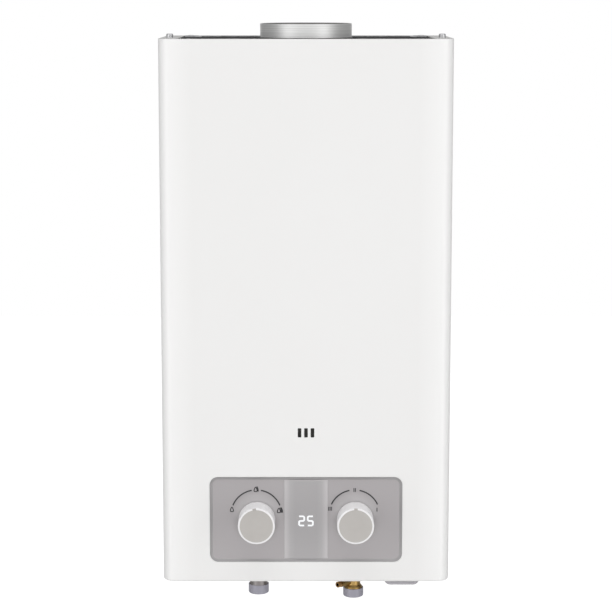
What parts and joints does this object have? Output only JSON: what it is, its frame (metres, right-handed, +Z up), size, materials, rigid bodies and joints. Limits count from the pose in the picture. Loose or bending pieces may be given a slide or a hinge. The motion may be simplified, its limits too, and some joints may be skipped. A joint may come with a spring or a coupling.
{
  "type": "tankless gas water heater",
  "caption": "Wall-hung tankless gas water heater: white sheet-metal case with a flue collar on top, a sunken grey control panel with turning knobs and a display, and capped pipe fittings below.",
  "frame": {"origin": "on the wall plane, at the middle of the case's width and height, which is the centre of the four wall-screw holes", "axes": "+Z up, +Y into the wall, +X to the right of someone facing the heater"},
  "size_m": [0.313, 0.2054, 0.6386],
  "materials": {
    "cover_enamel": "gloss",
    "galvanised": "satin",
    "top_dark": "satin",
    "collar_metal": "brushed",
    "copper": "satin",
    "brass": "machined",
    "valve_alloy": "cast",
    "panel_plastic": "fine texture",
    "window_plastic": "satin",
    "digit_light": "lit",
    "circuit_board": "solder mask",
    "knob_plastic": "satin",
    "knob_face_plastic": "fine texture",
    "steel": "bright",
    "rubber": "matt",
    "lead_rubber": "matt",
    "cap_plastic": "satin",
    "filter_plastic": "matt",
    "black_plastic": "matt",
    "cell_wrap": "gloss",
    "ceramic": "glazed",
    "sight_glass": "clear"
  },
  "bodies": {
    "case": {"front_cover": "cover_enamel", "back_plate": "galvanised", "bottom_plate": "galvanised", "burner_frame": "galvanised", "burner_blades": "galvanised", "flue_hood": "galvanised", "top_plate": "top_dark", "flue_collar": "collar_metal", "combustion_chamber": "copper", "exchanger_fins": "copper", "exchanger_tube": "copper", "riser_pipe": "copper", "hot_pipe": "copper", "pipe_unions": "copper", "cold_inlet_fitting": "brass", "hot_outlet_fitting": "brass", "lock_nuts": "brass", "gas_jets": "brass", "drain_valve_body": "brass", "water_valve_body": "brass", "diaphragm_cover": "brass", "gas_valve_body": "valve_alloy", "spindle_bonnets": "valve_alloy", "gas_manifold": "valve_alloy", "control_panel": "panel_plastic", "display_window": "window_plastic", "display_digits": "digit_light", "display_board": "circuit_board", "cover_screws": "steel", "board_screws": "steel", "diaphragm_screws": "steel", "hinge_pin": "steel", "battery_contacts": "steel", "ignition_electrodes": "steel", "overheat_switch": "steel", "gas_inlet_fitting": "steel", "diaphragm": "rubber", "ignition_leads": "lead_rubber", "battery_box": "cap_plastic", "inlet_filter": "filter_plastic", "igniter_module": "black_plastic", "microswitch": "black_plastic", "gas_solenoid": "black_plastic", "battery_cells": "cell_wrap", "electrode_insulators": "ceramic", "sight_glass": "sight_glass"},
    "flame_control": {"flame_knob": "knob_plastic", "flame_knob_face": "knob_face_plastic", "flame_spindle": "steel"},
    "water_control": {"water_knob": "knob_plastic", "water_knob_face": "knob_face_plastic", "water_spindle": "steel"},
    "flow_rod": {"push_rod": "steel"},
    "switch_lever": {"microswitch_lever": "steel"},
    "battery_hatch": {"battery_door": "cap_plastic", "door_contact": "steel"},
    "drain_plug": {"drain_screw": "brass"},
    "gas_inlet_cap": {"gas_cap": "cap_plastic"},
    "cold_inlet_cap": {"cold_cap": "cap_plastic"}
  },
  "joints": [
    {"name": "flame_turn", "type": "hinge", "parent": "case", "child": "flame_control", "pos_m": [-0.0532, -0.19, -0.2216], "axis": [0, 1, 0], "range_deg": [-73.4, 86.6]},
    {"name": "water_turn", "type": "hinge", "parent": "case", "child": "water_control", "pos_m": [0.0532, -0.19, -0.2216], "axis": [0, 1, 0], "range_deg": [-76, 74]},
    {"name": "flow_rod_slide", "type": "slide", "parent": "case", "child": "flow_rod", "axis": [-1, 0, 0], "range_m": [0, 0.005], "stiffness_N_per_m": 400, "springref_m": -0.003},
    {"name": "switch_lever_pivot", "type": "hinge", "parent": "case", "child": "switch_lever", "pos_m": [-0.0008, -0.1225, -0.2406], "axis": [0, -1, 0], "range_deg": [0, 21.5]},
    {"name": "battery_door_hinge", "type": "hinge", "parent": "case", "child": "battery_hatch", "pos_m": [0.107, -0.0819, -0.305], "axis": [1, 0, 0], "range_deg": [0, 95]},
    {"name": "drain_screw_turn", "type": "hinge", "parent": "case", "child": "drain_plug", "pos_m": [0.0532, -0.105, -0.311], "axis": [-0.7071, -0.7071, 0], "range_deg": [0, 360]},
    {"name": "gas_cap_pull", "type": "slide", "parent": "case", "child": "gas_inlet_cap", "axis": [0, 0, -1], "range_m": [0, 0.025]},
    {"name": "cold_cap_pull", "type": "slide", "parent": "case", "child": "cold_inlet_cap", "axis": [0, 0, -1], "range_m": [0, 0.025]}
  ],
  "couplings": [
    {"joint": "switch_lever_pivot", "follows": "flow_rod_slide", "rad_per_m": 74}
  ]
}
